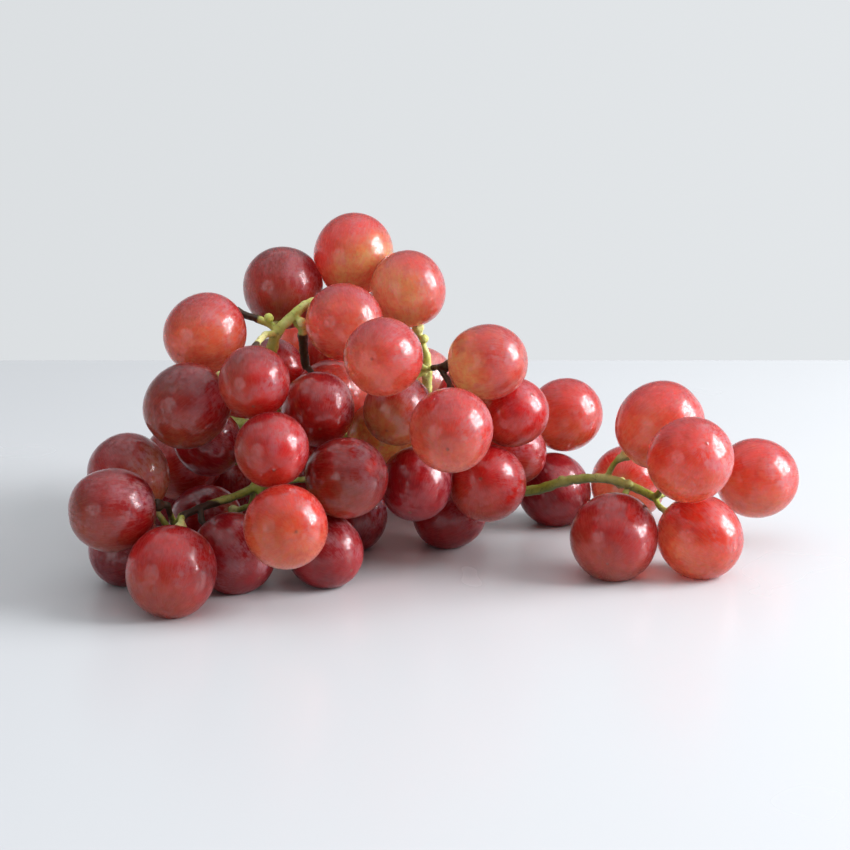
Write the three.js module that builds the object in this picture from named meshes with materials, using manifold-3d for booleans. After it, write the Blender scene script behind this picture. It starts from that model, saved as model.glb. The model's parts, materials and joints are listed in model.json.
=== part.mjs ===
// A bunch of large red table grapes, lying on a flat surface.
// It is made of one branching green stalk and the berries that hang on its fine ends.
// Units are millimetres, +Z is up, the surface is z = 0 and the bunch is seen along +Y.
import * as THREE from 'three';
import { mergeVertices } from 'three/addons/utils/BufferGeometryUtils.js';
import Module from 'manifold-3d';

const wasm = await Module();
wasm.setup();

// Driving dimensions
const BERRY_CLEARANCE = 0.3; // between neighbouring skins
const STALK_CLEARANCE = 0.35; // between a stalk and a skin
const FLOOR_CLEARANCE = 0.3; // under a berry or stalk that bears no weight
const FLAT_SINK = 1.0; // how far a berry that bears weight is flattened
const WIDTH_TO_LENGTH = 0.97; // of a berry
const DIMPLE_DEPTH = 0.8; // at the stalk end of a berry
const DIMPLE_RADIUS = 2.8;
const DIMPLE_RIM_DROP = 0.3; // from the end of the berry's full length to the edge of the dimple
const FINE_STALK_RADIUS = 0.9; // a stalk that carries one berry
const THICKENING = 0.25; // a stalk's radius grows with this power of the berries that it carries
const COLLAR_RADIUS = 2.1; // the swollen end of a fine stalk, where the berry sits
const COLLAR_LENGTH = 2.6;
const COLLAR_WIDEST = 0.3; // where along its length, from the skin
const COLLAR_END_WIDTH = 0.85; // of its greatest width, inside the dimple
const COLLAR_GAP = 0.7; // from the bottom of the dimple to the end of the collar
const SHORTEST_END = 3; // the straight end of a fine stalk, from the skin outwards
const LONGEST_END = 8;

// How finely the surfaces are cut
const BERRY_SIDES = 12;
const BERRY_ROWS = 7;
const FACET_SWELL = 1.012; // puts the corners outside the true surface, so that the volume is right
const STALK_SIDES = 6;
const STALK_STEP = 5; // length of one straight piece of a stalk
const FORKS_PER_STEP = 4; // places on each straight piece where a fine stalk may leave it
const THIN = 0.5; // radius of a stalk before its rings are widened
const MERGE_DISTANCE = 1e-3;

// How the berries settle and how the fine stalks find their way
const SETTLING_ROUNDS = 1500;
const PUSH_KEPT_ACROSS = 0.9; // the share of a sideways move that a berry that shows keeps each round
const CELL = 1.5;
const FREE_WAY = FINE_STALK_RADIUS + STALK_CLEARANCE;
const HEAP_REACH = 15; // a place with fewer berries than this company within reach is outside the heap
const HEAP_COMPANY = 2;
const STRAIGHT_END_WORTH = 1.5; // a millimetre of straight end is worth this much longer a way
const SHOWN_COST = 4; // a fine stalk goes this much further to stay behind the berries that show
const SHOWN_END_COST = 8;
const COLLAR_TRIED_AT = 1; // off the skin, where a collar has to have room
const STRAIGHTENING_ROUNDS = 80;
const STRAIGHTENING_PACE = 0.5; // share of the way to the middle of its neighbours that a knot moves
const FORK_LEAN = 0.25; // how much a fork leans towards the stalk that it comes from
const STRAIGHTENING_MARGIN = 0.15; // kept on top of the clearance, as a straight piece cuts its corners

// Where the bunch is seen from: a point in front of it and a little above it.
const VIEW = { distance: 600, elevation: THREE.MathUtils.degToRad(14), aimHeight: 41.5 };
const PICTURE = { centreX: 425, centreY: 425, mmPerPixel: 0.31 };

// The berries that show: [name, picture x, picture y, distance from the eye, diameter, skin], and for
// some the place [picture x, picture y, distance] just off the skin where their own stalk comes in.
// A berry with no distance lies on the surface, which gives its distance.
const SEEN_BERRIES = [
  ['berry_01', 354, 254, 612, 24.2, 'rose', [342, 297, 607]],
  ['berry_02', 408, 289, 602, 23.5, 'rose', [421, 340, 602]],
  ['berry_03', 283, 288, 612, 24.2, 'red', [277, 334, 605]],
  ['berry_04', 344, 322, 590, 23.0, 'rose'],
  ['berry_05', 383, 357, 560, 23.5, 'rose'],
  ['berry_06', 205, 334, 590, 24.6, 'rose', [238, 312, 600]],
  ['berry_07', 254, 383, 560, 21.0, 'red', [256, 345, 577]],
  ['berry_08', 187, 406, 575, 25.0, 'red'],
  ['berry_09', 272, 450, 558, 21.5, 'red'],
  ['berry_10', 318, 409, 586, 22.5, 'dark'],
  ['berry_11', 347, 478, 572, 24.0, 'red'],
  ['berry_12', 285, 527, 552, 24.0, 'red'],
  ['berry_13', 129, 475, 586, 24.5, 'red'],
  ['berry_14', 113, 510, 556, 24.5, 'red', [163, 506, 563]],
  ['berry_15', 171, 572, null, 26.0, 'red', [182, 522, 560]],
  ['berry_16', 127, 550, null, 22.0, 'dark'],
  ['berry_17', 234, 553, null, 24.0, 'dark', [203, 521, 583]],
  ['berry_18', 325, 551, null, 22.5, 'dark'],
  ['berry_19', 208, 442, 592, 20.5, 'dark'],
  ['berry_20', 184, 463, 606, 25.0, 'red'],
  ['berry_21', 352, 516, null, 22.5, 'dark'],
  ['berry_22', 416, 484, 590, 22.0, 'dark'],
  ['berry_23', 449, 514, null, 22.5, 'dark'],
  ['berry_24', 451, 430, 560, 24.5, 'rose'],
  ['berry_25', 487, 483, 595, 24.0, 'red'],
  ['berry_26', 488, 362, 590, 24.0, 'rose', [440, 367, 590]],
  ['berry_27', 513, 413, 612, 21.5, 'red'],
  ['berry_28', 565, 415, 640, 24.2, 'rose', [531, 428, 652]],
  ['berry_29', 554, 490, null, 24.0, 'dark'],
  ['berry_30', 512, 452, 634, 21.5, 'red'],
  ['berry_31', 398, 410, 600, 21.0, 'red'],
  ['berry_32', 331, 398, 613, 24.0, 'rose'],
  ['berry_33', 382, 434, 602, 21.0, 'rose'],
  ['berry_34', 273, 370, 622, 20.5, 'red'],
  ['berry_35', 228, 492, 614, 23.0, 'dark'],
  ['berry_36', 418, 385, 635, 24.5, 'rose'],
  ['berry_37', 472, 402, 622, 23.0, 'red'],
  ['berry_38', 205, 515, null, 22.5, 'dark'],
  ['berry_39', 336, 350, 620, 22.0, 'red'],
  ['tip_berry_1', 660, 425, 600, 27.0, 'rose', [617, 460, 602]],
  ['tip_berry_2', 690, 460, 575, 25.6, 'rose'],
  ['tip_berry_3', 757, 478, 618, 25.5, 'rose'],
  ['tip_berry_4', 700, 537, null, 25.5, 'rose', [661, 505, 597]],
  ['tip_berry_5', 614, 537, null, 26.5, 'red'],
  ['tip_berry_6', 628, 483, 640, 25.0, 'rose', [618, 481, 623]],
];

// The berries behind them: [name, x, y, z, diameter, skin]. A berry with no z lies on the surface.
const REAR_BERRIES = [
  ['rear_berry_01', -86, 34, null, 23.5, 'dark'],
  ['rear_berry_02', -60, 52, null, 24.0, 'dark'],
  ['rear_berry_03', -28, 46, null, 23.0, 'dark'],
  ['rear_berry_04', -14, 58, null, 24.0, 'red'],
  ['rear_berry_05', 10, 42, null, 22.5, 'dark'],
  ['rear_berry_06', -38, 30, 27, 23.0, 'dark'],
  ['rear_berry_07', -34, 52, 34, 24.0, 'red'],
  ['rear_berry_08', -10, 42, 34, 23.0, 'red'],
  ['rear_berry_09', -64, 44, 40, 23.5, 'red'],
  ['rear_berry_10', -42, 36, 48, 23.0, 'red'],
  ['rear_berry_11', -12, 42, 54, 22.0, 'rose'],
  ['rear_berry_12', -34, 52, 56, 22.0, 'rose'],
];

const SKIN = {
  rose: { color: 0xc8483f, roughness: 0.32 },
  red: { color: 0xa02a30, roughness: 0.34 },
  dark: { color: 0x55202f, roughness: 0.38 },
};
const STALK_LOOK = { color: 0x8f9a4a, roughness: 0.6 };

// The main stalk, from where it was cut from the vine to the last berries, and its branches that show:
// first and last radius, and points as [picture x, picture y, distance from the eye].
const MAIN_STALK = {
  radii: [2.9, 1.3],
  points: [
    [160, 398, 676],
    [186, 408, 655],
    [232, 424, 636],
    [290, 430, 626],
    [368, 438, 626],
    [440, 442, 622],
    [492, 486, 620],
    [530, 491, 617],
    [566, 481, 611],
    [602, 478, 606],
    [634, 487, 603],
    [658, 500, 600],
  ],
};
const BRANCHES = [
  // to the berries at the top left
  { radii: [2.0, 1.6], points: [[290, 430, 626], [282, 386, 612], [271, 350, 596], [281, 327, 591], [295, 314, 591]] },
  { radii: [1.6, 0.9], points: [[295, 314, 591], [308, 303, 596], [320, 300, 603], [334, 298, 608]] },
  { radii: [1.2, 1.0], points: [[278, 331, 591], [268, 323, 594], [251, 317, 598], [239, 313, 602]] },
  { radii: [1.0, 0.9], points: [[276, 334, 592], [268, 333, 589], [260, 340, 583], [256, 345, 577]] },
  { radii: [1.7, 1.3], points: [[294, 316, 592], [302, 326, 594], [303, 340, 598], [304, 354, 601], [306, 368, 604]] },
  // to those at the top right
  { radii: [1.9, 1.7], points: [[440, 442, 622], [427, 410, 614], [427, 386, 608]] },
  { radii: [1.5, 1.1], points: [[427, 386, 608], [428, 363, 604], [425, 352, 603], [421, 340, 602]] },
  { radii: [0.9, 0.8], points: [[425, 378, 607], [424, 371, 603], [433, 368, 597], [442, 366, 590]] },
  { radii: [1.5, 1.0], points: [[440, 442, 622], [470, 448, 632], [500, 440, 641], [528, 428, 648]] },
  // along the front, low on the left
  { radii: [1.6, 1.1], points: [[290, 430, 626], [268, 466, 606], [250, 490, 593], [202, 507, 585], [180, 517, 581]] },
  // to the highest and the rearmost of the last berries
  { radii: [1.0, 0.9], points: [[606, 478, 606], [614, 464, 604], [620, 456, 602]] },
  { radii: [1.0, 0.9], points: [[608, 479, 606], [614, 482, 613], [618, 481, 620]] },
];

// Picture points to places in space
const eye = new THREE.Vector3(
  0,
  -VIEW.distance * Math.cos(VIEW.elevation),
  VIEW.aimHeight + VIEW.distance * Math.sin(VIEW.elevation),
);
const focalPixels = VIEW.distance / PICTURE.mmPerPixel;

// The place that lies a given distance in front of the eye, behind a picture point.
function placeOf([px, py, far]) {
  const right = (px - PICTURE.centreX) / focalPixels;
  const up = (PICTURE.centreY - py) / focalPixels;
  const c = Math.cos(VIEW.elevation);
  const s = Math.sin(VIEW.elevation);
  return eye.clone().addScaledVector(new THREE.Vector3(right, c + up * s, -s + up * c), far);
}

// Each berry: its centre, radius, skin, whether it bears on the surface, and its sight line if it shows.
function startingBerries() {
  const seen = SEEN_BERRIES.map(([name, px, py, far, diameter, skin, stalk]) => {
    const radius = diameter / 2;
    const rests = far === null;
    const sight = placeOf([px, py, 1]).sub(eye);
    const reach = rests ? (radius - FLAT_SINK - eye.z) / sight.z : far;
    const centre = eye.clone().addScaledVector(sight, reach);
    return { name, radius, skin, rests, sight: sight.normalize(), centre, stalk: stalk && placeOf(stalk) };
  });
  const rear = REAR_BERRIES.map(([name, x, y, z, diameter, skin]) => {
    const radius = diameter / 2;
    const rests = z === null;
    return { name, radius, skin, rests, centre: new THREE.Vector3(x, y, rests ? radius - FLAT_SINK : z) };
  });
  return [...seen, ...rear];
}

// A thick stalk is a smooth curve through its points, kept as knots: a place and a radius each.
function thickStalk({ radii, points }) {
  const curve = new THREE.CatmullRomCurve3(points.map(placeOf), false, 'centripetal');
  const count = Math.round(curve.getLength() / STALK_STEP);
  return curve.getSpacedPoints(count).map((point, i) => {
    return { point, radius: THREE.MathUtils.lerp(radii[0], radii[1], i / count) };
  });
}

// Berries that overlap push each other apart, as far as the thick stalks and the surface let them.
// One that shows slides along its sight line sooner than across it.
function settle(berries, thickStalks) {
  const home = berries.map((berry) => berry.centre.clone());
  const pieces = thickStalks.flatMap((knots) =>
    knots.slice(1).map((knot, i) => ({ line: new THREE.Line3(knots[i].point, knot.point), radius: knot.radius })),
  );
  const apart = new THREE.Vector3();
  const near = new THREE.Vector3();
  for (let round = 0; round < SETTLING_ROUNDS; round++) {
    for (let i = 0; i < berries.length; i++)
      for (let j = i + 1; j < berries.length; j++) {
        const [a, b] = [berries[i], berries[j]];
        apart.subVectors(a.centre, b.centre);
        const overlap = a.radius + b.radius + BERRY_CLEARANCE - apart.length();
        if (overlap <= 0) continue;
        apart.setLength(overlap / 2);
        a.centre.add(apart);
        b.centre.sub(apart);
      }
    for (const berry of berries)
      for (const { line, radius } of pieces) {
        line.closestPointToPoint(berry.centre, true, near);
        apart.subVectors(berry.centre, near);
        const overlap = berry.radius + radius + STALK_CLEARANCE - apart.length();
        if (overlap > 0) berry.centre.add(apart.setLength(overlap));
      }
    berries.forEach((berry, i) => {
      if (berry.sight) {
        const moved = berry.centre.clone().sub(home[i]);
        const along = berry.sight.clone().multiplyScalar(moved.dot(berry.sight));
        const across = moved.sub(along).multiplyScalar(PUSH_KEPT_ACROSS);
        berry.centre.copy(home[i]).add(along).add(across);
      }
      const lowest = berry.radius + (berry.rests ? -FLAT_SINK : FLOOR_CLEARANCE);
      berry.centre.z = berry.rests ? lowest : Math.max(berry.centre.z, lowest);
    });
  }
}

// The space round the berries, cut into small cells. The room of a cell is the distance from its
// centre to the nearest skin, and no stalk leaves the heap, where few berries are near. A cell is
// shown if no berry lies between it and the eye.
function freeCells(berries) {
  const box = new THREE.Box3();
  for (const { centre, radius } of berries) {
    box.expandByPoint(centre.clone().addScalar(radius));
    box.expandByPoint(centre.clone().subScalar(radius));
  }
  const size = box.getSize(new THREE.Vector3()).divideScalar(CELL).ceil().addScalar(1);
  const rows = [1, size.x, size.x * size.y];
  const cellAt = (point) => {
    const from = point.clone().sub(box.min).divideScalar(CELL).floor();
    return from.x * rows[0] + from.y * rows[1] + from.z * rows[2];
  };
  const centreOf = (cell) => {
    const steps = [cell % size.x, Math.floor(cell / size.x) % size.y, Math.floor(cell / rows[2])];
    return new THREE.Vector3(...steps).addScalar(0.5).multiplyScalar(CELL).add(box.min);
  };
  const room = new Float32Array(size.x * size.y * size.z);
  const shown = new Uint8Array(room.length);
  const onSight = new THREE.Vector3();
  for (let cell = 0; cell < room.length; cell++) {
    const centre = centreOf(cell);
    const sight = new THREE.Line3(eye, centre);
    let nearest = centre.z - FLOOR_CLEARANCE;
    let company = 0;
    let behind = false;
    for (const berry of berries) {
      const gap = berry.centre.distanceTo(centre) - berry.radius;
      nearest = Math.min(nearest, gap);
      if (gap < HEAP_REACH) company++;
      behind ||= sight.closestPointToPoint(berry.centre, true, onSight).distanceTo(berry.centre) < berry.radius;
    }
    room[cell] = company < HEAP_COMPANY ? 0 : nearest;
    shown[cell] = behind ? 0 : 1;
  }
  return { room, shown, rows, cellAt, centreOf };
}

// The shortest way from every free cell back to a thick stalk: how long it is, and its next cell.
function shortestWays({ room, shown, rows }, seeds) {
  const length = new Float32Array(room.length).fill(Infinity);
  const next = new Int32Array(room.length).fill(-1);
  const moves = [];
  for (const x of [-1, 0, 1])
    for (const y of [-1, 0, 1])
      for (const z of [-1, 0, 1])
        if (x || y || z) moves.push([x * rows[0] + y * rows[1] + z * rows[2], CELL * Math.hypot(x, y, z)]);
  for (const cell of seeds) length[cell] = 0;
  const waiting = [[...seeds]];
  for (let ring = 0; ring < waiting.length; ring++)
    for (const cell of waiting[ring] ?? []) {
      if (length[cell] < ring * CELL) continue;
      for (const [move, step] of moves) {
        const reached = cell + move;
        const total = length[cell] + step * (shown[reached] ? SHOWN_COST : 1);
        if (!(room[reached] > FREE_WAY) || total >= length[reached]) continue;
        length[reached] = total;
        next[reached] = cell;
        (waiting[Math.floor(total / CELL)] ??= []).push(reached);
      }
    }
  return { length, next };
}

// Where a berry's own stalk meets it: the free cell round it with the shortest way back to a thick
// stalk, or the one nearest to the place that is given for it. From there a straight end has to run
// square onto the skin past the other berries.
function stalkEnd(berry, berries, cells, ways) {
  const others = berries.filter((other) => other !== berry);
  const roomAt = (point) => Math.min(...others.map((other) => other.centre.distanceTo(point) - other.radius));
  const reach = new THREE.Vector3().setScalar(berry.radius + LONGEST_END + CELL);
  const low = berry.centre.clone().sub(reach);
  const high = berry.centre.clone().add(reach);
  let best = null;
  for (let x = low.x; x < high.x; x += CELL)
    for (let y = low.y; y < high.y; y += CELL)
      for (let z = Math.max(low.z, CELL); z < high.z; z += CELL) {
        const cell = cells.cellAt(new THREE.Vector3(x, y, z));
        if (!(ways.length[cell] < Infinity)) continue;
        const point = cells.centreOf(cell);
        const out = point.clone().sub(berry.centre);
        const straight = out.length() - berry.radius;
        const way = ways.length[cell] - STRAIGHT_END_WORTH * straight + SHOWN_END_COST * cells.shown[cell];
        const cost = berry.stalk ? point.distanceTo(berry.stalk) : way;
        if (straight < SHORTEST_END || straight > LONGEST_END || (best && cost >= best.cost)) continue;
        out.normalize();
        const collar = berry.centre.clone().addScaledVector(out, berry.radius + COLLAR_TRIED_AT);
        const middle = collar.clone().lerp(point, 0.5);
        if (roomAt(collar) < COLLAR_RADIUS + STALK_CLEARANCE || roomAt(middle) < FREE_WAY) continue;
        best = { cost, cell, out };
      }
  return best;
}

// The fine stalks as one tree of knots. Each knows its parent knot and how many berries it carries.
function growFineStalks(berries, thickStalks) {
  const cells = freeCells(berries);
  const rootAt = new Map();
  for (const knots of thickStalks)
    for (let i = 1; i < knots.length; i++)
      for (let fork = 0; fork < FORKS_PER_STEP; fork++) {
        const point = knots[i - 1].point.clone().lerp(knots[i].point, fork / FORKS_PER_STEP);
        rootAt.set(cells.cellAt(point), point);
      }
  const ways = shortestWays(cells, [...rootAt.keys()]);
  const knotAt = new Map();
  const ends = [];
  for (const berry of berries) {
    const end = stalkEnd(berry, berries, cells, ways);
    if (!end) throw new Error(`no way to ${berry.name}`);
    let child = null;
    for (let cell = end.cell; cell !== -1; cell = ways.next[cell]) {
      if (!knotAt.has(cell)) {
        const point = rootAt.get(cell) ?? cells.centreOf(cell);
        knotAt.set(cell, { point, parent: null, children: [], carried: 0, pinned: rootAt.has(cell) });
      }
      const knot = knotAt.get(cell);
      if (child && !knot.children.includes(child)) {
        knot.children.push(child);
        child.parent = knot;
      }
      knot.carried++;
      child = knot;
    }
    berry.out = end.out;
    const tip = knotAt.get(end.cell);
    tip.pinned = true;
    ends.push({ berry, tip, way: ways.length[end.cell] });
  }
  return { knots: [...knotAt.values()], ends };
}

const stalkRadius = (knot) => FINE_STALK_RADIUS * knot.carried ** THICKENING;

// The fine stalks are drawn straighter, and pushed off the skins that they then come near.
function straighten(knots, berries) {
  const off = new THREE.Vector3();
  for (let round = 0; round < STRAIGHTENING_ROUNDS; round++)
    for (const knot of knots) {
      if (knot.pinned) continue;
      const near = [knot.parent, ...knot.children];
      const middle = new THREE.Vector3();
      for (const other of near) middle.addScaledVector(other.point, 1 / near.length);
      if (near.length > 2) middle.lerp(knot.parent.point, FORK_LEAN);
      knot.point.lerp(middle, STRAIGHTENING_PACE);
      for (const berry of berries) {
        off.subVectors(knot.point, berry.centre);
        const least = berry.radius + stalkRadius(knot) + STALK_CLEARANCE + STRAIGHTENING_MARGIN;
        if (off.length() < least) knot.point.copy(berry.centre).add(off.setLength(least));
      }
      knot.point.z = Math.max(knot.point.z, stalkRadius(knot) + FLOOR_CLEARANCE);
    }
}

// A path of straight pieces, whose corners are the places where an extrusion puts its rings.
class KnottedPath extends THREE.Curve {
  constructor(points) {
    super();
    this.points = points;
  }

  getPoint(share, target = new THREE.Vector3()) {
    const last = this.points.length - 1;
    const piece = Math.min(Math.floor(share * last), last - 1);
    return target.lerpVectors(this.points[piece], this.points[piece + 1], share * last - piece);
  }

  getPointAt(share, target) {
    return this.getPoint(share, target);
  }

  getTangentAt(share, target) {
    return this.getTangent(share, target);
  }
}

// A round stalk through its knots: a thin extrusion whose rings are then widened to their own radii.
function stalkSolid(knots) {
  const path = new KnottedPath(knots.map((knot) => knot.point));
  const ring = new THREE.Shape(new THREE.EllipseCurve(0, 0, THIN, THIN).getPoints(STALK_SIDES).slice(0, -1));
  const geometry = new THREE.ExtrudeGeometry(ring, {
    extrudePath: path,
    steps: knots.length - 1,
    bevelEnabled: false,
  });
  const places = geometry.attributes.position;
  const place = new THREE.Vector3();
  for (let i = 0; i < places.count; i++) {
    place.fromBufferAttribute(places, i);
    const knot = knots.reduce((a, b) =>
      a.point.distanceToSquared(place) < b.point.distanceToSquared(place) ? a : b,
    );
    place.sub(knot.point).multiplyScalar(knot.radius / THIN).add(knot.point);
    places.setXYZ(i, place.x, place.y, place.z);
  }
  return solidOf(geometry);
}

// The knots of the stalk that ends at one berry, from where it leaves an older stalk to its collar.
function knotsTo({ berry, tip }, drawn) {
  const chain = [];
  for (let knot = tip; knot; knot = knot.parent) {
    chain.unshift(knot);
    if (drawn.has(knot)) break;
    drawn.add(knot);
  }
  const kept = [];
  let since = Infinity;
  chain.forEach((knot, i) => {
    if (i) since += knot.point.distanceTo(chain[i - 1].point);
    if (since < STALK_STEP && knot !== tip) return;
    kept.push({ point: knot.point, radius: i ? stalkRadius(knot) : stalkRadius(chain[1] ?? knot) });
    since = 0;
  });
  const beforeTip = kept.at(-2);
  if (kept.length > 2 && beforeTip.point.distanceTo(tip.point) < STALK_STEP / 2) kept.splice(-2, 1);
  const outBy = (distance, radius) => {
    return { point: berry.centre.clone().addScaledVector(berry.out, berry.radius + distance), radius };
  };
  kept.push(
    outBy(COLLAR_LENGTH, FINE_STALK_RADIUS),
    outBy(COLLAR_LENGTH * COLLAR_WIDEST, COLLAR_RADIUS),
    outBy(COLLAR_GAP - DIMPLE_DEPTH, COLLAR_RADIUS * COLLAR_END_WIDTH),
  );
  return kept;
}

// Closed meshes to solids and back
function solidOf(geometry) {
  geometry.deleteAttribute('normal');
  geometry.deleteAttribute('uv');
  const merged = mergeVertices(geometry, MERGE_DISTANCE);
  const corners = [];
  for (let i = 0; i < merged.index.count; i += 3) {
    const [a, b, c] = [0, 1, 2].map((k) => merged.index.getX(i + k));
    if (a !== b && b !== c && c !== a) corners.push(a, b, c);
  }
  const vertProperties = new Float32Array(merged.attributes.position.array);
  return new wasm.Manifold(new wasm.Mesh({ numProp: 3, vertProperties, triVerts: new Uint32Array(corners) }));
}

function geometryOf(solid) {
  const mesh = solid.getMesh();
  const geometry = new THREE.BufferGeometry();
  geometry.setAttribute('position', new THREE.BufferAttribute(mesh.vertProperties, 3));
  geometry.setIndex(new THREE.BufferAttribute(mesh.triVerts, 1));
  geometry.computeVertexNormals();
  return geometry;
}

// A berry is a little longer than wide, with a shallow dimple where its stalk comes in.
// It is turned so that the dimple faces its stalk, and flat where it bears on the surface.
function berrySolid(berry) {
  const along = berry.radius * FACET_SWELL;
  const across = along * WIDTH_TO_LENGTH;
  const profile = [];
  for (let row = 0; row <= BERRY_ROWS; row++) {
    const angle = (row / BERRY_ROWS) * Math.PI;
    profile.push(new THREE.Vector2(across * Math.sin(angle), -along * Math.cos(angle)));
  }
  profile[0].x = 0;
  const rim = new THREE.Vector2(DIMPLE_RADIUS, along - DIMPLE_RIM_DROP);
  const bottom = new THREE.Vector2(0, along - DIMPLE_DEPTH);
  profile.splice(-2, 2, rim, bottom);
  const geometry = new THREE.LatheGeometry(profile, BERRY_SIDES);
  geometry.applyQuaternion(new THREE.Quaternion().setFromUnitVectors(new THREE.Vector3(0, 1, 0), berry.out));
  const { x, y, z } = berry.centre;
  geometry.translate(x, y, z);
  const solid = solidOf(geometry);
  if (!berry.rests) return solid;
  const side = 3 * berry.radius;
  const below = new THREE.BoxGeometry(side, side, side).translate(x, y, -side / 2);
  return solid.subtract(solidOf(below));
}

function meshOf(name, solid, centre, look) {
  const geometry = geometryOf(solid).translate(-centre.x, -centre.y, -centre.z);
  const mesh = new THREE.Mesh(geometry, new THREE.MeshStandardMaterial({ ...look, metalness: 0 }));
  mesh.name = name;
  mesh.position.copy(centre);
  return mesh;
}

// The bunch
const berries = startingBerries();
const thickStalks = [MAIN_STALK, ...BRANCHES].map(thickStalk);
settle(berries, thickStalks);
const { knots, ends } = growFineStalks(berries, thickStalks);
straighten(knots, berries);

let stalk = thickStalks.map(stalkSolid).reduce((a, b) => a.add(b));
const drawn = new Set();
for (const end of ends.sort((a, b) => b.way - a.way)) stalk = stalk.add(stalkSolid(knotsTo(end, drawn)));

const bunch = new THREE.Group();
bunch.add(meshOf('stalk', stalk, new THREE.Vector3(), STALK_LOOK));
for (const berry of berries) bunch.add(meshOf(berry.name, berrySolid(berry), berry.centre, SKIN[berry.skin]));

// The origin is the middle of the bunch on the surface that it lies on.
const box = new THREE.Box3().setFromObject(bunch);
const middle = box.getCenter(new THREE.Vector3());
bunch.position.set(-middle.x, -middle.y, 0);

export default bunch;
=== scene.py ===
# A bunch of large red table grapes, lying on its side on a pale glossy table.
# Everything is in metres, +Z is up, and the bunch is seen along +Y.
import json
import math
import bmesh
import bpy
import numpy as np
from mathutils import Matrix, Vector


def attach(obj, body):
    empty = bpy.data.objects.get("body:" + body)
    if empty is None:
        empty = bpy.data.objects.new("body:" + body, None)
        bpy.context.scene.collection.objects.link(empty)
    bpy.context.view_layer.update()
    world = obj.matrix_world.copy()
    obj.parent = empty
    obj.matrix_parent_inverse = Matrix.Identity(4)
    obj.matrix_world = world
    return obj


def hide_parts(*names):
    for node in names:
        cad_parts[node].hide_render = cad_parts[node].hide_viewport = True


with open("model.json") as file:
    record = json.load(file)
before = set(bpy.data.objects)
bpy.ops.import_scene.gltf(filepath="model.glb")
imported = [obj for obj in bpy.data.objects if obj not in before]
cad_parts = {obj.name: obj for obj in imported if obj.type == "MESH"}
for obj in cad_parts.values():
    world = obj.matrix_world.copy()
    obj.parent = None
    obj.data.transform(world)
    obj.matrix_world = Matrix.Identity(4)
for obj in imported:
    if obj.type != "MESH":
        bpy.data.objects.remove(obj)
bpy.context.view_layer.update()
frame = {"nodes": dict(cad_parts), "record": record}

nodes = frame["nodes"]
MM = 0.001

# The berries' form
# Each berry is a thin skin tight round a juicy flesh, grown on the end of its own fine stalk. It is
# a little longer than wide and pulled in where the stalk enters, has a small dry scar at the far
# end, is flattened where it bears on the table, and slightly so where it is pressed on another.
BERRY_AROUND = 64  # faces round the axis
BERRY_ALONG = 56  # rows of faces from the stalk end to the scar
SWELL = 1.018  # fills the gap that the solids keep between neighbours
WIDTH_TO_LENGTH = 0.97
DIMPLE = {"depth": 0.38 * MM, "reach": 2.2 * MM}
SCAR = {"height": 0.14 * MM, "reach": 0.5 * MM, "hollow": 0.12 * MM, "hollow_reach": 1.5 * MM}
PRESSED_GAP = 0.01 * MM  # between two berries that press on each other
PRESS_SOFTNESS = 0.12 * MM
LUMP_HEIGHT = 0.009  # of the radius
SIDE_SWING = 0.035  # how much wider one end may be than the other
SHOULDERS = 0.92  # power of the profile, under 1 for full shoulders
SQUARER = {"berry_26": 0.82, "berry_24": 0.86, "berry_06": 0.88}  # the same power for boxy ones
SIZE_TO_SOLID = {  # berries that are a little larger or smaller than their solids
    "berry_01": 1.045,
    "berry_03": 1.04,
    "berry_04": 1.03,
    "berry_05": 0.975,
    "berry_26": 0.96,
}
CROWDING = 0.35  # how far the rows of faces are drawn to the two ends
LUMP_LENGTH = 1.7  # of the radius
SMOOTH_END = 3 * MM  # without lumps, round the stalk
ACROSS_NO_AXIS = [0.3, 0.2, 0.9]  # a direction that no berry's axis has
NEAR = 1.1  # two berries this many radii apart may press on each other
LEAST_FACING = 0.5  # cosine up to which a skin faces its neighbour
TABLE_SOFTNESS = 0.3 * PRESS_SOFTNESS
FLAT_SPOT = 0.2 * MM  # height of the corners that belong to a solid's flat underside
ON_TABLE = 0.02 * MM
FITTING_ROUNDS = 3
ROUND_UP_TO = 0.9  # share of the radius, beyond which the solid's dimple begins


def points_of(node):
    """The node's vertices as rows of x, y, z."""
    mesh = nodes[node].data
    found = np.empty(len(mesh.vertices) * 3)
    mesh.vertices.foreach_get("co", found)
    return found.reshape(-1, 3)


def sphere_through(points):
    """Least squares: for a sphere, x² + y² + z² = 2 c·p + (r² - c²) is linear in c and r² - c²."""
    known = np.column_stack([2 * points, np.ones(len(points))])
    answer = np.linalg.lstsq(known, (points**2).sum(axis=1), rcond=None)[0]
    centre = answer[:3]
    return centre, math.sqrt(answer[3] + centre @ centre)


def berry_of(node):
    """Centre, radius and stalk direction. The stalk end is the one corner that is nearest to the centre,
    in the dimple. Stretched by the berry's shape along that direction, the rest lie on one sphere."""
    points = points_of(node)
    whole = points[points[:, 2] > FLAT_SPOT]
    centre, radius = sphere_through(whole)
    for _ in range(FITTING_ROUNDS):
        apart = whole - centre
        stalk_end = np.argmin(np.linalg.norm(apart, axis=1))
        axis = apart[stalk_end] / np.linalg.norm(apart[stalk_end])
        along = apart @ axis
        round_part = along < ROUND_UP_TO * radius
        stretched = apart + (1 / WIDTH_TO_LENGTH - 1) * (apart - along[:, None] * axis)
        off, radius = sphere_through(stretched[round_part])
        centre = centre + off
    rests = points[:, 2].min() < ON_TABLE
    return {"node": node, "centre": centre, "radius": radius, "axis": axis, "rests": rests}


berries = [berry_of(name) for name in sorted(nodes) if "berry" in name]


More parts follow.
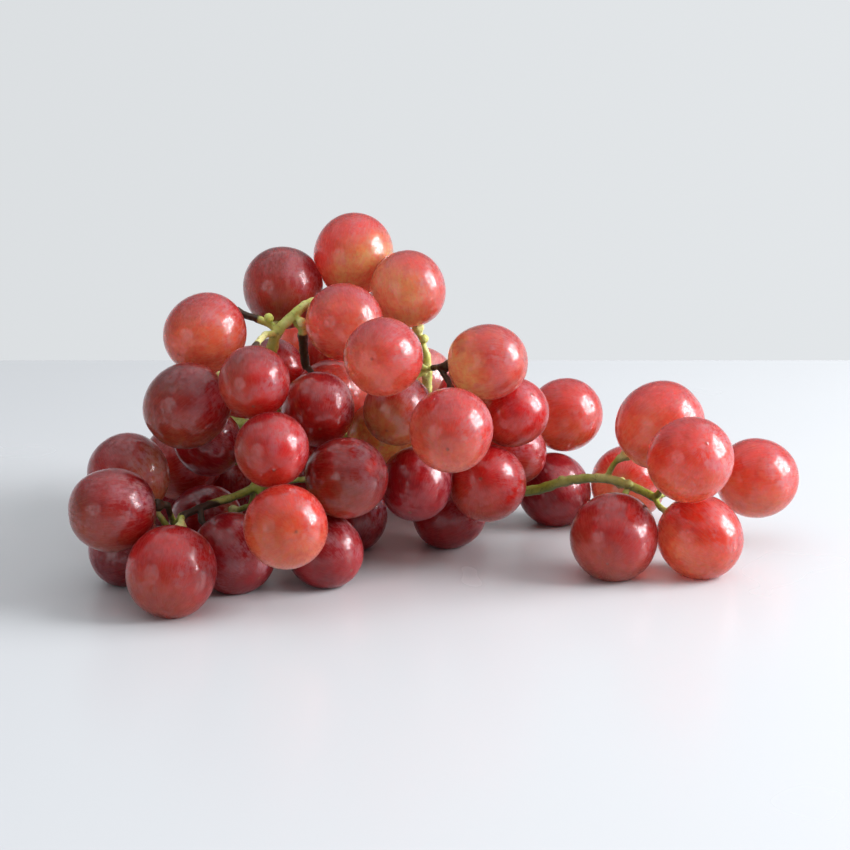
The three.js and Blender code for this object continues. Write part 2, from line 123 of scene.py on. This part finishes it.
def waves(points, count, wavelength, seed):
    """Smooth noise: a sum of cosines in random directions, scaled to about -1 to 1. Their wavelengths
    lie round the given one."""
    draw = np.random.default_rng(seed)
    ways = draw.normal(size=(count, 3))
    lengths = np.linalg.norm(ways, axis=1, keepdims=True)
    ways *= draw.uniform(0.6, 1.6, (count, 1)) * 2 * math.pi / wavelength / lengths
    return np.cos(points @ ways.T + draw.uniform(0, 2 * math.pi, count)).sum(axis=1) / math.sqrt(count)


def softly_at_most(value, most, softness):
    """The smaller of value and most, with the corner rounded: most - s ln(1 + exp((most - value) / s))."""
    return most - softness * np.logaddexp(0, (most - value) / softness)


def berry_mesh(berry, seed):
    """Angles from the stalk end are crowded towards both ends. The profile is half an ellipse with full
    shoulders, less a dimple at one end, plus a scar at the other, and is carried round the axis. Each
    point is then drawn in towards the centre, until it is on the near side of every plane that lies
    half-way to a neighbour, and of the table."""
    draw = np.random.default_rng(seed)
    radius = berry["radius"] * SWELL * SIZE_TO_SOLID.get(berry["node"], 1)
    share = np.linspace(0, 1, BERRY_ALONG + 1)[1:-1]
    angle = math.pi * share - CROWDING * np.sin(2 * math.pi * share)
    turn = np.linspace(0, 2 * math.pi, BERRY_AROUND, endpoint=False)
    angle, turn = [grid.ravel() for grid in np.meshgrid(angle, turn, indexing="ij")]
    angle = np.concatenate([[0], angle, [math.pi]])
    turn = np.concatenate([[0], turn, [0]])
    across = radius * WIDTH_TO_LENGTH * np.sin(angle) ** SQUARER.get(berry["node"], SHOULDERS)
    across *= 1 + draw.uniform(-SIDE_SWING, SIDE_SWING) * np.cos(angle)
    along = radius * np.cos(angle)
    at_stalk = np.cos(angle) > 0
    along -= at_stalk * DIMPLE["depth"] * np.exp(-((across / DIMPLE["reach"]) ** 2))
    scar = SCAR["height"] * np.exp(-((across / SCAR["reach"]) ** 2))
    scar -= SCAR["hollow"] * np.exp(-((across / SCAR["hollow_reach"]) ** 2))
    along -= ~at_stalk * scar
    axis = berry["axis"]
    side = np.cross(axis, ACROSS_NO_AXIS)
    side /= np.linalg.norm(side)
    other = np.cross(axis, side)
    out = across[:, None] * (np.cos(turn)[:, None] * side + np.sin(turn)[:, None] * other)
    out += along[:, None] * axis
    lumps = waves(out, 9, LUMP_LENGTH * radius, seed)
    lumps -= at_stalk * np.exp(-((across / SMOOTH_END) ** 2)) * lumps
    out *= (1 + LUMP_HEIGHT * lumps)[:, None]
    reach = np.linalg.norm(out, axis=1)
    towards = out / reach[:, None]
    for rival in berries:
        between = rival["centre"] - berry["centre"]
        gap = np.linalg.norm(between)
        if rival is berry or gap > NEAR * (berry["radius"] + rival["radius"]):
            continue
        plane = gap * berry["radius"] / (berry["radius"] + rival["radius"]) - PRESSED_GAP
        facing = towards @ (between / gap)
        most = np.where(facing > LEAST_FACING, plane / np.maximum(facing, LEAST_FACING), 2 * radius)
        reach = softly_at_most(reach, most, PRESS_SOFTNESS)
    if berry["rests"]:
        down = -towards[:, 2]
        height = berry["centre"][2]
        most = np.where(down > LEAST_FACING, height / np.maximum(down, LEAST_FACING), 2 * radius)
        reach = softly_at_most(reach, most, TABLE_SOFTNESS)
    places = berry["centre"] + reach[:, None] * towards
    places[:, 2] = np.maximum(places[:, 2], 0)

    rows = np.arange(BERRY_ALONG - 1)[:, None] * BERRY_AROUND + 1
    step = np.arange(BERRY_AROUND)
    next_step = (step + 1) % BERRY_AROUND
    here = rows[:-1] + step
    beside = rows[:-1] + next_step
    quads = np.stack([here, here + BERRY_AROUND, beside + BERRY_AROUND, beside], axis=-1)
    start = np.zeros_like(step)
    end = np.full_like(step, len(places) - 1)
    stalk_cap = np.column_stack([start, rows[0] + step, rows[0] + next_step])
    scar_cap = np.column_stack([rows[-1] + step, end, rows[-1] + next_step])
    faces = [*stalk_cap.tolist(), *quads.reshape(-1, 4).tolist(), *scar_cap.tolist()]
    mesh = bpy.data.meshes.new(berry["node"] + "_skin")
    mesh.from_pydata(places, [], faces)
    mesh.shade_smooth()
    return mesh, {"angle": angle, "turn": turn, "across": across, "at_stalk": at_stalk, "places": places}


# The skins' colours
# The skin is a thin red layer over a pale amber flesh, so its colour changes from berry to berry, and
# over each one: blotched at random and yellower near the stalk. Painted shade makes it deeper away from
# the front and, on rose berries, on top, and a painted glow makes it yellower on a side where light
# would come through. A whitish wax lies on it in smudges, rubbed off here and there, and the same
# whitish tone is laid as a painted highlight on the side towards the window.
def linear(*srgb):
    """A colour read off a screen, 0 to 255, as the light that it stands for."""
    part = np.array(srgb) / 255
    return np.where(part <= 0.04045, part / 12.92, ((part + 0.055) / 1.055) ** 2.4)


TONES = {  # the lit tone, and the deeper tone of the painted shade
    "skin_rose": (linear(246, 86, 54), linear(216, 54, 54)),
    "skin_red": (linear(224, 36, 32), linear(164, 14, 32)),
    "skin_dark": (linear(172, 22, 32), linear(116, 12, 34)),
    "pink": (linear(247, 94, 82), linear(224, 68, 74)),
    "salmon": (linear(240, 116, 88), linear(212, 78, 78)),
    "orange": (linear(242, 78, 42), linear(208, 46, 46)),
    "brown": (linear(200, 50, 40), linear(132, 18, 32)),
    "wine": (linear(174, 18, 22), linear(120, 8, 20)),
    "honey": (linear(242, 152, 74), linear(224, 116, 62)),
    # the pale tone is a painted highlight, washing berry_36 out whitish
    "pale": (linear(238, 178, 158), linear(228, 146, 136)),
}
ODD_ONES = {  # berries whose colour stands apart from their slot's
    "pink": ["berry_04", "berry_05", "berry_24"],
    "salmon": ["berry_02", "berry_26", "berry_32"],
    "orange": ["berry_12", "berry_28", "tip_berry_3", "tip_berry_4", "tip_berry_6"],
    "wine": ["berry_08", "berry_14"],
    "brown": ["berry_03", "berry_10", "berry_11", "berry_13", "berry_20", "berry_31", "tip_berry_5"],
    "honey": ["berry_33"],
    # berry_36 gets the pale tone as a painted highlight
    "pale": ["berry_36"],
}
tone_of = {node: kind for kind, odd_nodes in ODD_ONES.items() for node in odd_nodes}
TONE_SPREAD = 0.06  # from berry to berry, in brightness
HUE_SPREAD = 0.05
HUE_WAY = np.array([-0.3, 1, 1])  # less red with more green and blue
# the colour of a painted glow, where light would come through the berry
PAINTED_GLOW_TONE = linear(255, 224, 134)
STALK_END_TONE = linear(196, 168, 96)
STALK_END_RING = (1.6 * MM, 4.6 * MM)  # from the axis, where that tone fades away
STALK_END_SHARE = 0.5
SCAR_TONE = linear(170, 110, 84)
SCAR_RING = (0.25 * MM, 0.7 * MM)
SCAR_SHARE = 0.85
BLOTCH_LENGTHS = (2.6, 1.1)  # wavelengths of the blotches on a ball of radius 1
BLOTCH_ON_RED = 0.3
BLOTCH_ON_PAINTED_GLOW = 0.2
RED_FROM_TO = (-1.0, 0.5)
PAINTED_GLOW_FROM_TO = (-0.2, 0.95)
WAX = {"skin_rose": 0.12, "skin_red": 0.18, "skin_dark": 0.4}
WAX_LENGTH = 1.5
WAX_FROM_TO = (0.2, 1.6)
HIGHLIGHT_SIDE = np.array([0.62, -0.63, 0.465])  # where the whitish painted highlight is laid, towards the window and the front
HIGHLIGHT_FROM_TO = (0.68, 0.98)
HIGHLIGHT_LEAST_MOST = (0.5, 1.1)
HIGHLIGHT_EDGE = 0.1
HIGHLIGHT_EDGE_LENGTH = 0.8
STREAK_CHANGE = 0.5  # how fast a streak changes along the berry, against round it
STREAK_SHIFT = 40  # so that no two berries have the same streaks
PAINTED_GLOW_SIDE = {  # how strong the painted glow is on the side where light would come through, and which side that is
    "berry_01": (0.9, (0.5, -0.6, -0.6)),
    "berry_02": (0.8, (-0.6, -0.6, -0.5)),
    "berry_04": (0.3, (-0.1, -0.7, -0.7)),
    "berry_06": (0.35, (0.0, -0.7, -0.7)),
    "berry_12": (0.3, (0.0, -0.8, -0.6)),
    "berry_13": (0.5, (0.7, -0.4, -0.6)),
    "berry_26": (0.9, (-0.98, 0.05, -0.15)),
    "berry_31": (0.4, (-0.3, -0.6, -0.7)),
    "berry_33": (1.0, (-0.3, -0.6, -0.7)),
    "berry_36": (0.6, (-0.3, -0.6, -0.7)),
    "tip_berry_1": (0.35, (-0.5, -0.6, -0.6)),
    "tip_berry_6": (0.5, (-0.5, -0.6, -0.6)),
}
SHADED_TOP = {"skin_rose": 0.5, "skin_red": 0.1, "skin_dark": 0.1}  # how much deeper the painted shade makes the top
LIT_FRONT = np.array([0.05, -0.97, 0.22])  # the side that the painted shade leaves lightest, facing the front
# the painted glow on the other berries, on the side away from the window
PLAIN_PAINTED_GLOW = {"skin_rose": 0.3, "skin_red": 0.12, "skin_dark": 0.0}
AWAY_FROM_WINDOW = (-0.5, -0.4, -0.75)
RUBBED_BARE = ["berry_10", "berry_11", "berry_19", "berry_22", "berry_35"]


def smooth_step(value, low, high):
    share = np.clip((value - low) / (high - low), 0, 1)
    return share * share * (3 - 2 * share)


def mixed(first, second, share):
    return first + (second - first) * np.asarray(share)[..., None]


def colour_berry(mesh, berry, form, slot, seed):
    """Writes three values at every vertex: the skin's colour with its painted shade and glow, how much wax
    and painted highlight lie on it, and a place for streaks that run from end to end: the turn as a point
    on a circle, and the way along."""
    draw = np.random.default_rng(seed)
    out = form["places"] - berry["centre"]
    out /= np.linalg.norm(out, axis=1, keepdims=True)
    lit_tone, shade_tone = TONES[tone_of.get(berry["node"], slot)]
    tone = lit_tone * (1 + TONE_SPREAD * draw.normal()) * (1 + HUE_SPREAD * draw.normal() * HUE_WAY)
    long_waves, short_waves = BLOTCH_LENGTHS
    blotch = waves(out, 7, long_waves, seed + 1) + 0.5 * waves(out, 9, short_waves, seed + 2)
    # painted shade: deeper away from the front and, on rose berries, on top, mixed with random blotches
    painted_shade = SHADED_TOP[slot] * out[:, 2] - out @ LIT_FRONT + BLOTCH_ON_RED * blotch
    colour = mixed(np.broadcast_to(tone, out.shape), shade_tone, smooth_step(painted_shade, *RED_FROM_TO))
    # painted glow of light coming through the berry, on one side
    most, side = PAINTED_GLOW_SIDE.get(berry["node"], (PLAIN_PAINTED_GLOW[slot], AWAY_FROM_WINDOW))
    painted_glow = most * smooth_step(out @ np.array(side) + BLOTCH_ON_PAINTED_GLOW * blotch, *PAINTED_GLOW_FROM_TO)
    colour = mixed(colour, PAINTED_GLOW_TONE, painted_glow)
    ring = form["at_stalk"] * (1 - smooth_step(form["across"], *STALK_END_RING))
    colour = mixed(colour, STALK_END_TONE, STALK_END_SHARE * ring)
    scar = ~form["at_stalk"] * (1 - smooth_step(form["across"], *SCAR_RING))
    colour = mixed(colour, SCAR_TONE, SCAR_SHARE * scar)
    wax_and_highlight = WAX[slot] * smooth_step(waves(out, 9, WAX_LENGTH, seed + 3), *WAX_FROM_TO)
    wax_and_highlight *= berry["node"] not in RUBBED_BARE
    # painted highlight: the whitish tone laid on the side towards the window
    painted_highlight = out @ HIGHLIGHT_SIDE + HIGHLIGHT_EDGE * waves(out, 9, HIGHLIGHT_EDGE_LENGTH, seed + 4)
    painted_highlight = draw.uniform(*HIGHLIGHT_LEAST_MOST) * smooth_step(painted_highlight, *HIGHLIGHT_FROM_TO)
    wax_and_highlight = np.maximum(wax_and_highlight, painted_highlight) * (1 - scar)
    along = STREAK_CHANGE * form["angle"] / math.pi
    streaks = np.column_stack([np.cos(form["turn"]), np.sin(form["turn"]), along])
    streaks += draw.uniform(0, STREAK_SHIFT, 3)
    opaque = np.column_stack([np.clip(colour, 0, 1), np.ones(len(colour))])
    mesh.attributes.new("tone", "FLOAT_COLOR", "POINT").data.foreach_set("color", opaque.ravel())
    mesh.attributes.new("wax_and_highlight", "FLOAT", "POINT").data.foreach_set("value", wax_and_highlight)
    mesh.attributes.new("streaks", "FLOAT_VECTOR", "POINT").data.foreach_set("vector", streaks.ravel())


class Value:
    """A node's output that takes part in sums as a number does, each sum adding a Math node."""

    def __init__(self, shading, output):
        self.shading = shading
        self.output = output

    def sum(self, operation, first, second):
        return self.shading.node("Math", {"operation": operation}, {0: first, 1: second})

    def __add__(self, other):
        return self.sum("ADD", self, other)

    def __sub__(self, other):
        return self.sum("SUBTRACT", self, other)

    def __rsub__(self, other):
        return self.sum("SUBTRACT", other, self)

    def __mul__(self, other):
        return self.sum("MULTIPLY", self, other)

    __radd__ = __add__
    __rmul__ = __mul__


class Shading:
    """The node tree of a material or a world, begun empty."""

    def __init__(self, owner):
        owner.use_nodes = True
        self.tree = owner.node_tree
        self.tree.nodes.clear()

    def node(self, kind, settings, sockets, out=0):
        """Adds a node. Its settings come first, then a number, colour or link for each socket."""
        made = self.tree.nodes.new("ShaderNode" + kind)
        for setting, value in settings.items():
            setattr(made, setting, value)
        for socket, value in sockets.items():
            if isinstance(value, Value):
                self.tree.links.new(value.output, made.inputs[socket])
            else:
                made.inputs[socket].default_value = value
        return Value(self, made.outputs[out]) if len(made.outputs) else made

    def step(self, value, low, high, to_low=0.0, to_high=1.0):
        """Rises smoothly from to_low to to_high while value goes from low to high."""
        ends = {"From Min": low, "From Max": high, "To Min": to_low, "To Max": to_high}
        return self.node("MapRange", {"interpolation_type": "SMOOTHSTEP"}, {"Value": value, **ends})

    def mix(self, share, first, second):
        """Between two colours."""
        colours = [value if isinstance(value, Value) else (*value, 1) for value in (first, second)]
        return self.node("Mix", {"data_type": "RGBA"}, {0: share, 6: colours[0], 7: colours[1]}, 2)


class Finish(Shading):
    """A material's node tree."""

    def __init__(self, name):
        self.material = bpy.data.materials.new(name)
        super().__init__(self.material)

    def place(self):
        return self.node("TexCoord", {}, {}, "Object")

    def own(self, name, out):
        """The value of that name that is stored at the vertices."""
        return self.node("Attribute", {"attribute_name": name}, {}, out)

    def noise(self, vector, scale, detail=2.0, roughness=0.5):
        sockets = {"Vector": vector, "Scale": scale, "Detail": detail, "Roughness": roughness}
        return self.node("TexNoise", {}, sockets)

    def bump(self, height, distance):
        return self.node("Bump", {}, {"Height": height, "Distance": distance, "Strength": 1.0})

    def surface(self, **sockets):
        """Ends the tree with the shader, its sockets given by name with _ for each space."""
        named = {name.replace("_", " "): value for name, value in sockets.items()}
        shader = self.node("BsdfPrincipled", {"subsurface_method": "RANDOM_WALK"}, named)
        self.node("OutputMaterial", {}, {"Surface": shader})
        return self.material


# The skins' finish
# Fine mottling and pale streaks lie under the surface, light goes some way into the flesh, and the
# skin is glossy where the wax has been rubbed off and dull where it still lies. The whitish wax tone is
# also laid over the painted highlight.
# whitish tone of the wax, also used for the painted highlight
WAX_AND_HIGHLIGHT_TONE = linear(232, 186, 194)
WAX_AND_HIGHLIGHT_COVER = 0.62
FLECK_TONE = linear(234, 158, 134)
FLECKED = {"skin_rose": 0.55, "skin_red": 0.26, "skin_dark": 0.12}
STREAKED = 0.7
DEEPER = (0.6, 0.34, 0.42)  # what is left of red, green and blue in the mottling
MOTTLED = 0.5
BARE_GLOSS = 1.0
WAXED_GLOSS = 0.12
CLEARNESS = {"skin_rose": 0.6, "skin_red": 0.5, "skin_dark": 0.3}
FLESH_DEPTH = {"skin_rose": 6.0 * MM, "skin_red": 4.5 * MM, "skin_dark": 2.6 * MM}
UNEVENNESS = 0.035 * MM


def skin(slot):
    finish = Finish(slot.replace("_", " "))
    place = finish.place()
    tone = finish.own("tone", "Color")
    wax_and_highlight = finish.own("wax_and_highlight", "Fac")
    streak_place = finish.own("streaks", "Vector")
    mottle = finish.noise(place, scale=300, detail=4, roughness=0.6)
    streak = finish.noise(streak_place, scale=24, detail=4, roughness=0.62)
    cloud = finish.noise(place, scale=150, detail=3, roughness=0.55)
    smear = finish.noise(place, scale=700, detail=5, roughness=0.6)
    fine = finish.noise(place, scale=2600)
    pores = finish.noise(place, scale=800, detail=1)
    deep = finish.node("VectorMath", {"operation": "MULTIPLY"}, {0: tone, 1: DEEPER})
    pale = finish.mix(FLECKED[slot], tone, FLECK_TONE)
    colour = finish.mix(finish.step(mottle, 0.36, 0.72, to_high=MOTTLED), tone, deep)
    colour = finish.mix(finish.step(streak, 0.46, 0.7, to_high=STREAKED), colour, pale)
    # whitish where wax lies and where the highlight is painted
    wax_and_highlight_lying = wax_and_highlight * finish.step(0.4 * cloud + 0.4 * smear + 0.2 * streak, 0.42, 0.6)
    colour = finish.mix(WAX_AND_HIGHLIGHT_COVER * wax_and_highlight_lying, colour, WAX_AND_HIGHLIGHT_TONE)
    smudge = 0.5 * smear + 0.3 * streak + 0.2 * fine
    return finish.surface(
        Base_Color=colour,
        Roughness=0.3 + 0.08 * wax_and_highlight_lying,
        IOR=1.44,
        Specular_IOR_Level=0.3,
        Subsurface_Weight=1.0,
        Transmission_Weight=CLEARNESS[slot],
        Subsurface_Radius=(1.0, 0.34, 0.22),
        Subsurface_Scale=FLESH_DEPTH[slot],
        Subsurface_Anisotropy=0.4,
        Coat_Weight=finish.step(smudge, 0.43, 0.56, BARE_GLOSS, WAXED_GLOSS),
        Coat_IOR=1.56,
        Coat_Roughness=0.14,
        Coat_Tint=(1.0, 0.7, 0.78, 1.0),
        Sheen_Weight=0.12,
        Sheen_Roughness=0.16,
        Sheen_Tint=(1.0, 0.84, 0.88, 1.0),
        Normal=finish.bump(pores + 0.3 * streak, UNEVENNESS),
    )


skins = {slot: skin(slot) for slot in CLEARNESS}
slot_of = {entry["node"]: entry["material_slot"] for entry in frame["record"]["subparts"]}
for number, berry in enumerate(berries):
    slot = slot_of[berry["node"]]
    mesh, form = berry_mesh(berry, 100 + number)
    colour_berry(mesh, berry, form, slot, 300 + 10 * number)
    mesh.materials.append(skins[slot])
    piece = bpy.data.objects.new(berry["node"] + "_skin", mesh)
    bpy.context.scene.collection.objects.link(piece)
    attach(piece, "root")
    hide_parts(berry["node"])

# The stalk
# One green woody stem branches again and again, down to a fine stalk for each berry with a swollen
# end that the berry sits on. It grew in one piece, and was cut from the vine at its thick end.
SAME_CORNER = 0.002 * MM
STALK_GRAIN = 0.4 * MM  # size of its finished faces
STALK_ROUNDS = 14
TO_NEIGHBOURS = 0.55  # share of the way that a vertex moves
AND_BACK = -0.58
STUBS = [  # what is left of fine stalks that have come off: a place and a radius
    ((0.0352, 0.0025, 0.0219), 1.4 * MM),
    ((0.0550, -0.0070, 0.0232), 1.4 * MM),
    ((-0.0459, -0.0066, 0.0744), 1.4 * MM),
    ((-0.0558, -0.0053, 0.0754), 1.5 * MM),
    ((-0.0084, 0.0020, 0.0674), 1.4 * MM),
]
STALK_LUMPS = 0.1 * MM
LONG_LUMP = 5 * MM
SHORT_LUMP = 1.8 * MM
STALK_ROUNDING = 0.12 * MM  # how far the round stalk stands out from the flats of the solid
OFF_TABLE = 0.1 * MM


def stalk_mesh():
    """A copy of the solid with the short remains, cut anew into small even faces and then evened out:
    each round moves every vertex towards the mean of its neighbours and then a little further back, so
    that the facets go and the thickness stays."""
    copied = nodes["stalk"].data.copy()
    shape = bmesh.new()
    shape.from_mesh(copied)
    for place, radius in STUBS:
        bmesh.ops.create_icosphere(shape, subdivisions=2, radius=radius, matrix=Matrix.Translation(place))
    shape.to_mesh(copied)
    shape.free()
    rough = bpy.data.objects.new("stalk_rough", copied)
    bpy.context.scene.collection.objects.link(rough)
    weld = rough.modifiers.new("weld", "WELD")
    weld.merge_threshold = SAME_CORNER
    remesh = rough.modifiers.new("remesh", "REMESH")
    remesh.mode = "VOXEL"
    remesh.voxel_size = STALK_GRAIN
    seen = rough.evaluated_get(bpy.context.evaluated_depsgraph_get())
    mesh = bpy.data.meshes.new_from_object(seen)
    bpy.data.objects.remove(rough)
    count = len(mesh.vertices)
    places = np.empty(count * 3)
    mesh.vertices.foreach_get("co", places)
    places = places.reshape(-1, 3)
    edges = np.empty(len(mesh.edges) * 2, np.int32)
    mesh.edges.foreach_get("vertices", edges)
    ends = np.concatenate([edges.reshape(-1, 2), edges.reshape(-1, 2)[:, ::-1]])
    degree = np.bincount(ends[:, 0], minlength=count)[:, None]
    for step in (TO_NEIGHBOURS, AND_BACK) * STALK_ROUNDS:
        total = [np.bincount(ends[:, 0], places[ends[:, 1], k], count) for k in range(3)]
        places = places + step * (np.column_stack(total) / degree - places)
    mesh.vertices.foreach_set("co", places.ravel())
    mesh.update()
    normals = np.empty(count * 3)
    mesh.vertices.foreach_get("normal", normals)
    height = waves(places, 24, LONG_LUMP, 5) + 0.5 * waves(places, 24, SHORT_LUMP, 6)
    places += (STALK_ROUNDING + STALK_LUMPS * height[:, None]) * normals.reshape(-1, 3)
    places[:, 2] = np.maximum(places[:, 2], OFF_TABLE)
    mesh.vertices.foreach_set("co", places.ravel())
    mesh.shade_smooth()
    return mesh, places


STALK_GREEN = linear(186, 194, 92)
# deeper green of the leafy right-hand parts, also the painted shade low down
STALK_LEAF_AND_SHADE = linear(150, 160, 54)
# painted shade on the stalk's underside
STALK_PAINTED_SHADE = linear(70, 78, 30)
STALK_PALE = linear(228, 226, 158)
# dark brown of old spots and dried stalks, also used as painted shade
STALK_OLD_AND_SHADE = linear(62, 42, 24)
WITHERED_AND_SHADED_TO = {  # berries whose stalks are darker, partly dried brown and partly painted shade, and how far back
    "berry_06": 11 * MM,
    "berry_07": 11 * MM,
    "berry_14": 7 * MM,
    "berry_17": 12 * MM,
    "berry_26": 11 * MM,
}
# painted shade round a place on the stem, and its reach
PAINTED_SHADE_PLACES = [((-0.0457, 0.001, 0.063), 9 * MM)]
FULLY_DARKENED = 0.7  # of that length
COLLAR_FROM_TO = (2.2 * MM, 4.5 * MM)  # from the berry's skin
LEAFY_RIGHT = (5 * MM, 40 * MM)  # x, from where to where the green deepens
SHADED_BELOW = (46 * MM, 34 * MM)  # height, below which the green is darkened as painted shade
UNDER_FROM_TO = (-0.3, 0.8)  # how far the surface faces down, for the painted shade underneath
LEAFY_AND_SHADED_UNPATCHED = 0.6
PALE_COLLAR = 0.6
PAINTED_SHADE_UNDER = 0.8
SPOTTED = 0.6


def colour_stalk(mesh, places):
    """Four values at every vertex: how dark and brown the stalk is near some berries, partly dried and
    partly painted shade, and as painted shade round a given place; how leafy its green is to the right,
    darkened low down as painted shade; how near it is to a berry, where the swollen ends are pale; and how
    far such a part faces down, for a painted shade underneath."""
    ends = {berry["node"]: berry["centre"] + berry["axis"] * berry["radius"] for berry in berries}
    dried_and_shaded = [(ends[node], reach) for node, reach in WITHERED_AND_SHADED_TO.items()] + PAINTED_SHADE_PLACES
    withered_and_shaded = np.zeros(len(places))
    for place, reach in dried_and_shaded:
        far = np.linalg.norm(places - np.array(place), axis=1)
        withered_and_shaded = np.maximum(withered_and_shaded, 1 - smooth_step(far, FULLY_DARKENED * reach, reach))
    nearest = np.min([np.linalg.norm(places - end, axis=1) for end in ends.values()], axis=0)
    normals = np.empty(len(places) * 3)
    mesh.vertices.foreach_get("normal", normals)
    # greener to the right, and darker low down as painted shade
    leafy_and_shaded = np.maximum(smooth_step(places[:, 0], *LEAFY_RIGHT), smooth_step(places[:, 2], *SHADED_BELOW))
    values = {
        "withered_and_shaded": withered_and_shaded,
        "leafy_and_shaded": leafy_and_shaded,
        "collar": 1 - smooth_step(nearest, *COLLAR_FROM_TO),
        "shade_under": smooth_step(-normals[2::3], *UNDER_FROM_TO) * leafy_and_shaded,
    }
    for name, value in values.items():
        mesh.attributes.new(name, "FLOAT", "POINT").data.foreach_set("value", value)


def stalk_finish():
    finish = Finish("green stalk")
    place = finish.place()
    withered_and_shaded = finish.own("withered_and_shaded", "Fac")
    leafy_and_shaded = finish.own("leafy_and_shaded", "Fac")
    collar = finish.own("collar", "Fac")
    shade_under = finish.own("shade_under", "Fac")
    patch = finish.noise(place, scale=90, detail=3, roughness=0.6)
    grain = finish.noise(place, scale=1100, detail=4, roughness=0.6)
    wart = finish.node("TexVoronoi", {}, {"Vector": place, "Scale": 900}, "Distance")
    # leafier green to the right, painted shade low down
    stem = finish.mix(leafy_and_shaded, STALK_GREEN, STALK_LEAF_AND_SHADE)
    patched = finish.step(patch, 0.38, 0.68) * (1 - LEAFY_AND_SHADED_UNPATCHED * leafy_and_shaded)
    green = finish.mix(patched, stem, STALK_PALE)
    green = finish.mix(PALE_COLLAR * collar, green, STALK_PALE)
    # painted shade on the underside of the low and right-hand parts
    green = finish.mix(PAINTED_SHADE_UNDER * shade_under, green, STALK_PAINTED_SHADE)
    spotted = finish.mix(finish.step(grain, 0.55, 0.72, to_high=SPOTTED), green, STALK_OLD_AND_SHADE)
    # darker where the stalk has dried and where shade is painted
    dry_and_shaded = finish.step(withered_and_shaded + 0.4 * grain, 0.45, 0.95)
    return finish.surface(
        Base_Color=finish.mix(dry_and_shaded, spotted, STALK_OLD_AND_SHADE),
        Roughness=0.36 + 0.2 * grain,
        IOR=1.45,
        Subsurface_Weight=0.25,
        Subsurface_Radius=(0.8, 1.0, 0.3),
        Subsurface_Scale=1.2 * MM,
        Normal=finish.bump(grain - 0.5 * wart, 0.12 * MM),
    )


mesh, places = stalk_mesh()
colour_stalk(mesh, places)
mesh.materials.clear()
mesh.materials.append(stalk_finish())
stalk = bpy.data.objects.new("green_stalk", mesh)
bpy.context.scene.collection.objects.link(stalk)
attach(stalk, "root")
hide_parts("stalk")

# The table
# A plain white top with a soft polish, flat and much wider than the bunch. Its back edge is about
# 0.2 m behind the bunch.
TABLE_BACK = 0.285
TABLE_FRONT = -1.6
TABLE_HALF_WIDTH = 1.8
TABLE_TONE = linear(208, 211, 214)
corners = [
    (-TABLE_HALF_WIDTH, TABLE_FRONT, 0),
    (TABLE_HALF_WIDTH, TABLE_FRONT, 0),
    (TABLE_HALF_WIDTH, TABLE_BACK, 0),
    (-TABLE_HALF_WIDTH, TABLE_BACK, 0),
]
table_mesh = bpy.data.meshes.new("table")
table_mesh.from_pydata(corners, [], [(0, 1, 2, 3)])
finish = Finish("white polish")
uneven = finish.noise(finish.place(), scale=14)
polish = finish.surface(Base_Color=(*TABLE_TONE, 1), Roughness=0.22 + 0.08 * uneven, IOR=1.36)
table_mesh.materials.append(polish)
table = bpy.data.objects.new("table", table_mesh)
bpy.context.scene.collection.objects.link(table)

# The light
# A soft window stands to the right of the bunch and above it, and a much fainter round light to the
# front left. A pale room sends some light from all round: more from the window's side, from behind
# and from the white ceiling, and less from a band of wall above the table.
MIDDLE = (0, 0, 0.04)  # of the bunch
DAYLIGHT = (0.98, 0.98, 1.0)
CEILING = (1.02, 1.03, 1.05)
WALL = (0.72, 0.745, 0.765)


def area_light(name, shape, place, wide, high, power):
    lamp = bpy.data.lights.new(name, "AREA")
    lamp.shape = shape
    lamp.size = wide
    lamp.size_y = high
    lamp.energy = power
    lamp.color = DAYLIGHT
    light = bpy.data.objects.new(name, lamp)
    light.location = place
    light.rotation_euler = (Vector(MIDDLE) - Vector(place)).to_track_quat("-Z", "Y").to_euler()
    bpy.context.scene.collection.objects.link(light)


area_light("window", "RECTANGLE", (0.87, -0.05, 0.45), wide=0.56, high=0.6, power=16.5)
area_light("far_window", "ELLIPSE", (-0.75, -0.8, 0.3), wide=0.8, high=0.7, power=1.6)

world = bpy.data.worlds.new("pale room")
bpy.context.scene.world = world
room = Shading(world)
way = room.node("TexCoord", {}, {}, "Generated")
x, y, z = [room.node("SeparateXYZ", {}, {0: way}, axis) for axis in "XYZ"]
sideways = 1.03 + 0.17 * x
backwards = room.step(y + 0.8 * z, -0.5, 0.4, to_low=0.4)
band = room.step(z, 0.06, 0.26) * room.step(z, 0.8, 0.45)
room_tone = room.mix(room.step(z, 0.45, 0.9), WALL, CEILING)
strength = sideways * backwards * (1 - 0.5 * band)
background = room.node("Background", {}, {"Color": room_tone, "Strength": strength})
room.node("OutputWorld", {}, {"Surface": background})

# The camera
# It stands in front of the bunch and a little above it.
EYE = (-0.008123, -0.58664, 0.18665)
LOOKING_DOWN = 14  # degrees
FOCAL_PIXELS = 1935.48
PICTURE_PIXELS = 850
lens = bpy.data.cameras.new("camera")
lens.sensor_width = 36
lens.lens = FOCAL_PIXELS / PICTURE_PIXELS * lens.sensor_width
lens.clip_start = 0.01
camera = bpy.data.objects.new("camera", lens)
camera.location = EYE
camera.rotation_euler = (math.radians(90 - LOOKING_DOWN), 0, 0)
bpy.context.scene.collection.objects.link(camera)
bpy.context.scene.camera = camera
bpy.context.scene.view_settings.view_transform = "Standard"
